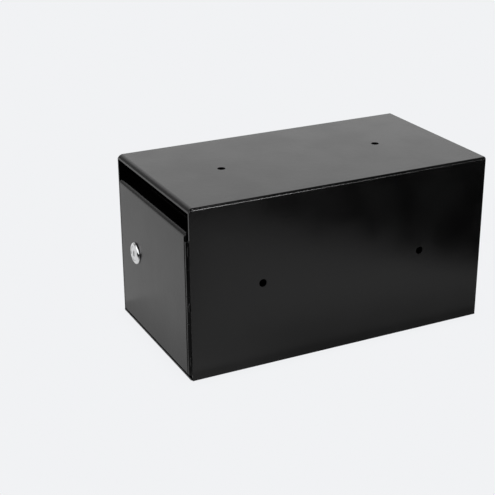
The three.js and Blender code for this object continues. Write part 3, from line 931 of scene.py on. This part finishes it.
def shade_at_box(nodes, x, y):
    """The box's own shade on the floor round it."""
    front_gap = gap_from_box(nodes, y, WRAP_HIGH.y)
    side_gap = gap_from_box(nodes, x, WRAP_HIGH.x)
    in_front = nodes.ramp(front_gap, *FRONT_SHADE["gap"], FRONT_SHADE["left_over"], 1.0)
    beside = nodes.ramp(side_gap, *BESIDE_SHADE["gap"], BESIDE_SHADE["depth"], 0.0)
    beside = nodes.maths("MULTIPLY", beside, nodes.ramp(y, *BESIDE_SHADE["y"]))
    lit = nodes.maths("MAXIMUM", in_front, nodes.ramp(side_gap, *FRONT_SHADE["side_gap"]))
    return nodes.maths("MULTIPLY", lit, inverse(nodes, beside))


def dark_back(nodes, x, y):
    """The dark part of the floor, behind a slanting line at the back right."""
    diagonal = nodes.maths("ADD", nodes.maths("MULTIPLY", x, BACK_DARK["slant"]), y)
    dark = nodes.ramp(diagonal, *BACK_DARK["diagonal"], 0.0, BACK_DARK["depth"])
    return nodes.maths("MULTIPLY", dark, nodes.ramp(x, *BACK_DARK["x"]))


def right_shade(nodes, x, y):
    """A dimmer part of the floor in front of the box, at the right."""
    line = nodes.maths("SUBTRACT", x, nodes.maths("MULTIPLY", y, RIGHT_SHADE["slant"]))
    shade = nodes.ramp(line, *RIGHT_SHADE["line"], 0.0, RIGHT_SHADE["depth"])
    return nodes.maths("MULTIPLY", shade, nodes.ramp(x, *RIGHT_SHADE["x"]))


def dark_front(nodes, x, y):
    """The dark part of the floor, far in front and not at the left."""
    return nodes.maths("MULTIPLY", nodes.ramp(y, *FRONT_DARK["y"]), nodes.ramp(x, *FRONT_DARK["x"]))


def floor_in_reflections(nodes, x, y):
    """How bright the floor is in the box's sheets, from a place on it in metres."""
    level = nodes.ramp(x, *FLOOR_LEVEL["x"], FLOOR_LEVEL["left"], FLOOR_LEVEL["right"])
    return product(
        nodes,
        shade_at_box(nodes, x, y),
        level,
        inverse(nodes, dark_back(nodes, x, y)),
        inverse(nodes, right_shade(nodes, x, y)),
        inverse(nodes, dark_front(nodes, x, y)),
        nodes.ramp(x, *LEFT_GLOW["x"], 1.0, LEFT_GLOW["strength"]),
    )


def floor_material():
    material, nodes, place = new_material("floor_paper")
    x, y, _ = split(nodes, place)
    reflected = floor_in_reflections(nodes, x, y)
    shade = nodes.add("ShaderNodeAmbientOcclusion", {"Distance": 0.02}, output="AO", samples=8)
    seen = nodes.ramp(shade, 0.0, 1.0, 0.95, 1.0)
    camera = nodes.tree.nodes.new("ShaderNodeLightPath").outputs["Is Camera Ray"]
    colour = nodes.blend(camera, (1, 1, 1, 1), PAPER)
    strength = nodes.add("ShaderNodeMix", {0: camera, 2: reflected, 3: seen})
    glow = nodes.add("ShaderNodeEmission", {"Color": colour, "Strength": strength})
    nodes.add("ShaderNodeOutputMaterial", {"Surface": glow})
    return material


SOFTBOX = {"place": (0.427, 0.03, 1.0), "target": (0, 0, 0.08), "size": (0.3, 0.26), "power": 2}


def build_lights():
    """One weak soft light overhead."""
    data = bpy.data.lights.new("overhead_softbox", "AREA")
    data.shape = "RECTANGLE"
    data.size, data.size_y = SOFTBOX["size"]
    data.energy = SOFTBOX["power"]
    lamp = bpy.data.objects.new("overhead_softbox", data)
    lamp.location = SOFTBOX["place"]
    aim = Vector(SOFTBOX["target"]) - Vector(SOFTBOX["place"])
    lamp.rotation_mode = "QUATERNION"
    lamp.rotation_quaternion = aim.to_track_quat("-Z", "Y")
    bpy.context.scene.collection.objects.link(lamp)


CAMERA_PLACE = Vector((0.86145, -0.47379, 0.47037))
CAMERA_AZIMUTH = math.radians(63.868)
CAMERA_ELEVATION = math.radians(22.540)
CAMERA_ROLL = math.radians(-0.358)
CAMERA_LENS = 87.207


def build_camera():
    data = bpy.data.cameras.new("camera")
    data.lens = CAMERA_LENS
    data.sensor_width = 36
    data.clip_start = 0.01
    camera = bpy.data.objects.new("camera", data)
    level = math.cos(CAMERA_ELEVATION)
    back = Vector((
        math.sin(CAMERA_AZIMUTH) * level,
        -math.cos(CAMERA_AZIMUTH) * level,
        math.sin(CAMERA_ELEVATION),
    ))
    across = Vector((0, 0, 1)).cross(back).normalized()
    up = back.cross(across)
    tilt = Matrix((across, up, back)).transposed() @ Matrix.Rotation(CAMERA_ROLL, 3, "Z")
    camera.matrix_world = Matrix.Translation(CAMERA_PLACE) @ tilt.to_4x4()
    bpy.context.scene.collection.objects.link(camera)
    bpy.context.scene.camera = camera


# ---------------------------------------------------------------- scene

build_wrap()
build_door()
build_back()
build_ramp()
build_leaf("hinge_leaf_on_body", "hinge_body_leaf", "box", 1, 0)
build_leaf("hinge_leaf_on_door", "hinge_door_leaf", "door", -1, 1)
build_welds()
build_housing()
build_nut()
finish_cad_nodes()

build_world()
build_floor()
build_lights()
build_camera()
bpy.context.scene.view_settings.view_transform = "Standard"
